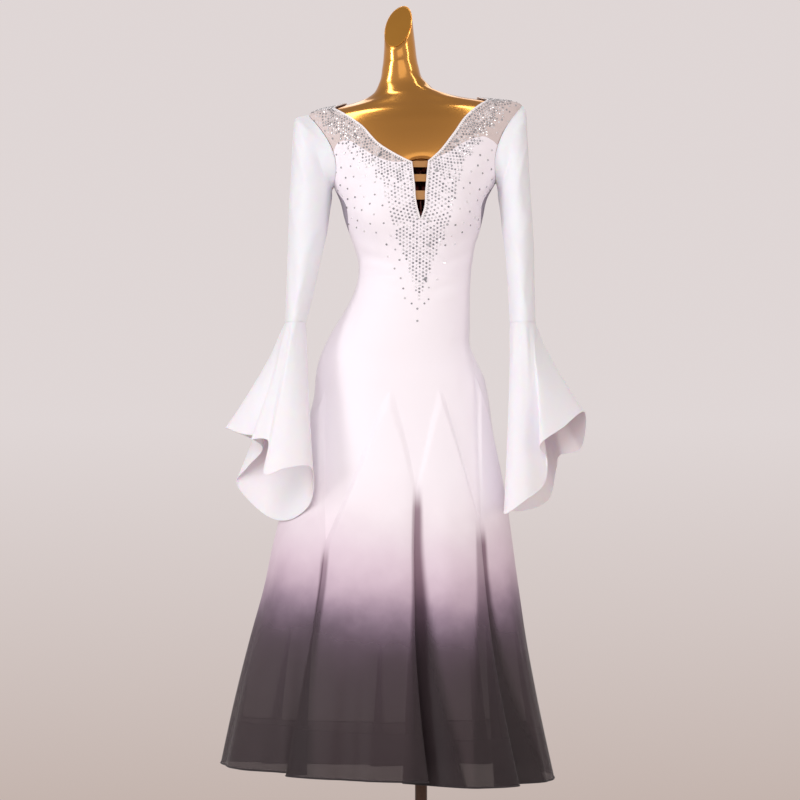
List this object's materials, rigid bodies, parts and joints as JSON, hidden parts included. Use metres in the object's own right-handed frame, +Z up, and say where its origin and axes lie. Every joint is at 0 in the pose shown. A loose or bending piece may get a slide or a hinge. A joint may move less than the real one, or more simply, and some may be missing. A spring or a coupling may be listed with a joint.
{
  "type": "ballroom dance dress on a dress form",
  "caption": "Fitted ballroom dance dress with net yokes, a slit front, bell-flounced long sleeves and a flared godet skirt, on a limbless torso form with pole and round base.",
  "frame": {"origin": "middle of the round base plate's underside, on the floor", "axes": "+Z up; -Y is the wearer's front; +X is to the right as seen from the front"},
  "size_m": [0.6503, 0.5385, 1.6301],
  "materials": {
    "white_stretch_knit": "white stretch knit with a soft sheen",
    "nude_net": "sheer nude stretch net",
    "lilac_net": "dark lilac stretch net",
    "white_binding": "narrow white binding set with small stones",
    "tan_elastic": "flat tan elastic",
    "ombre_chiffon": "chiffon dyed from white at the top to near black at the hem",
    "black_horsehair_band": "sheer black horsehair hem band",
    "white_sleeve_crepe": "white stretch crepe",
    "gold_lacquer": "glossy metallic gold lacquer",
    "dull_gold_plate": "brown-gold plate",
    "dark_chrome": "dark bronze metal"
  },
  "bodies": {
    "root": {"bodice_front": "white_stretch_knit", "bodice_back": "white_stretch_knit", "yoke_left": "nude_net", "yoke_right": "nude_net", "side_inset_left": "lilac_net", "side_inset_right": "lilac_net", "neck_binding": "white_binding", "slit_strap_1": "tan_elastic", "slit_strap_2": "tan_elastic", "slit_strap_3": "tan_elastic", "hip_front": "white_stretch_knit", "hip_back": "white_stretch_knit", "godet_1": "ombre_chiffon", "godet_2": "ombre_chiffon", "godet_3": "ombre_chiffon", "godet_4": "ombre_chiffon", "godet_5": "ombre_chiffon", "godet_6": "ombre_chiffon", "godet_7": "ombre_chiffon", "godet_8": "ombre_chiffon", "hem_band": "black_horsehair_band", "sleeve_left": "white_sleeve_crepe", "sleeve_right": "white_sleeve_crepe", "flounce_left": "white_sleeve_crepe", "flounce_right": "white_sleeve_crepe", "form_torso": "gold_lacquer", "form_neck_plate": "dull_gold_plate", "pole_collar": "dark_chrome", "pole": "dark_chrome", "base_plate": "dark_chrome"}
  },
  "joints": []
}
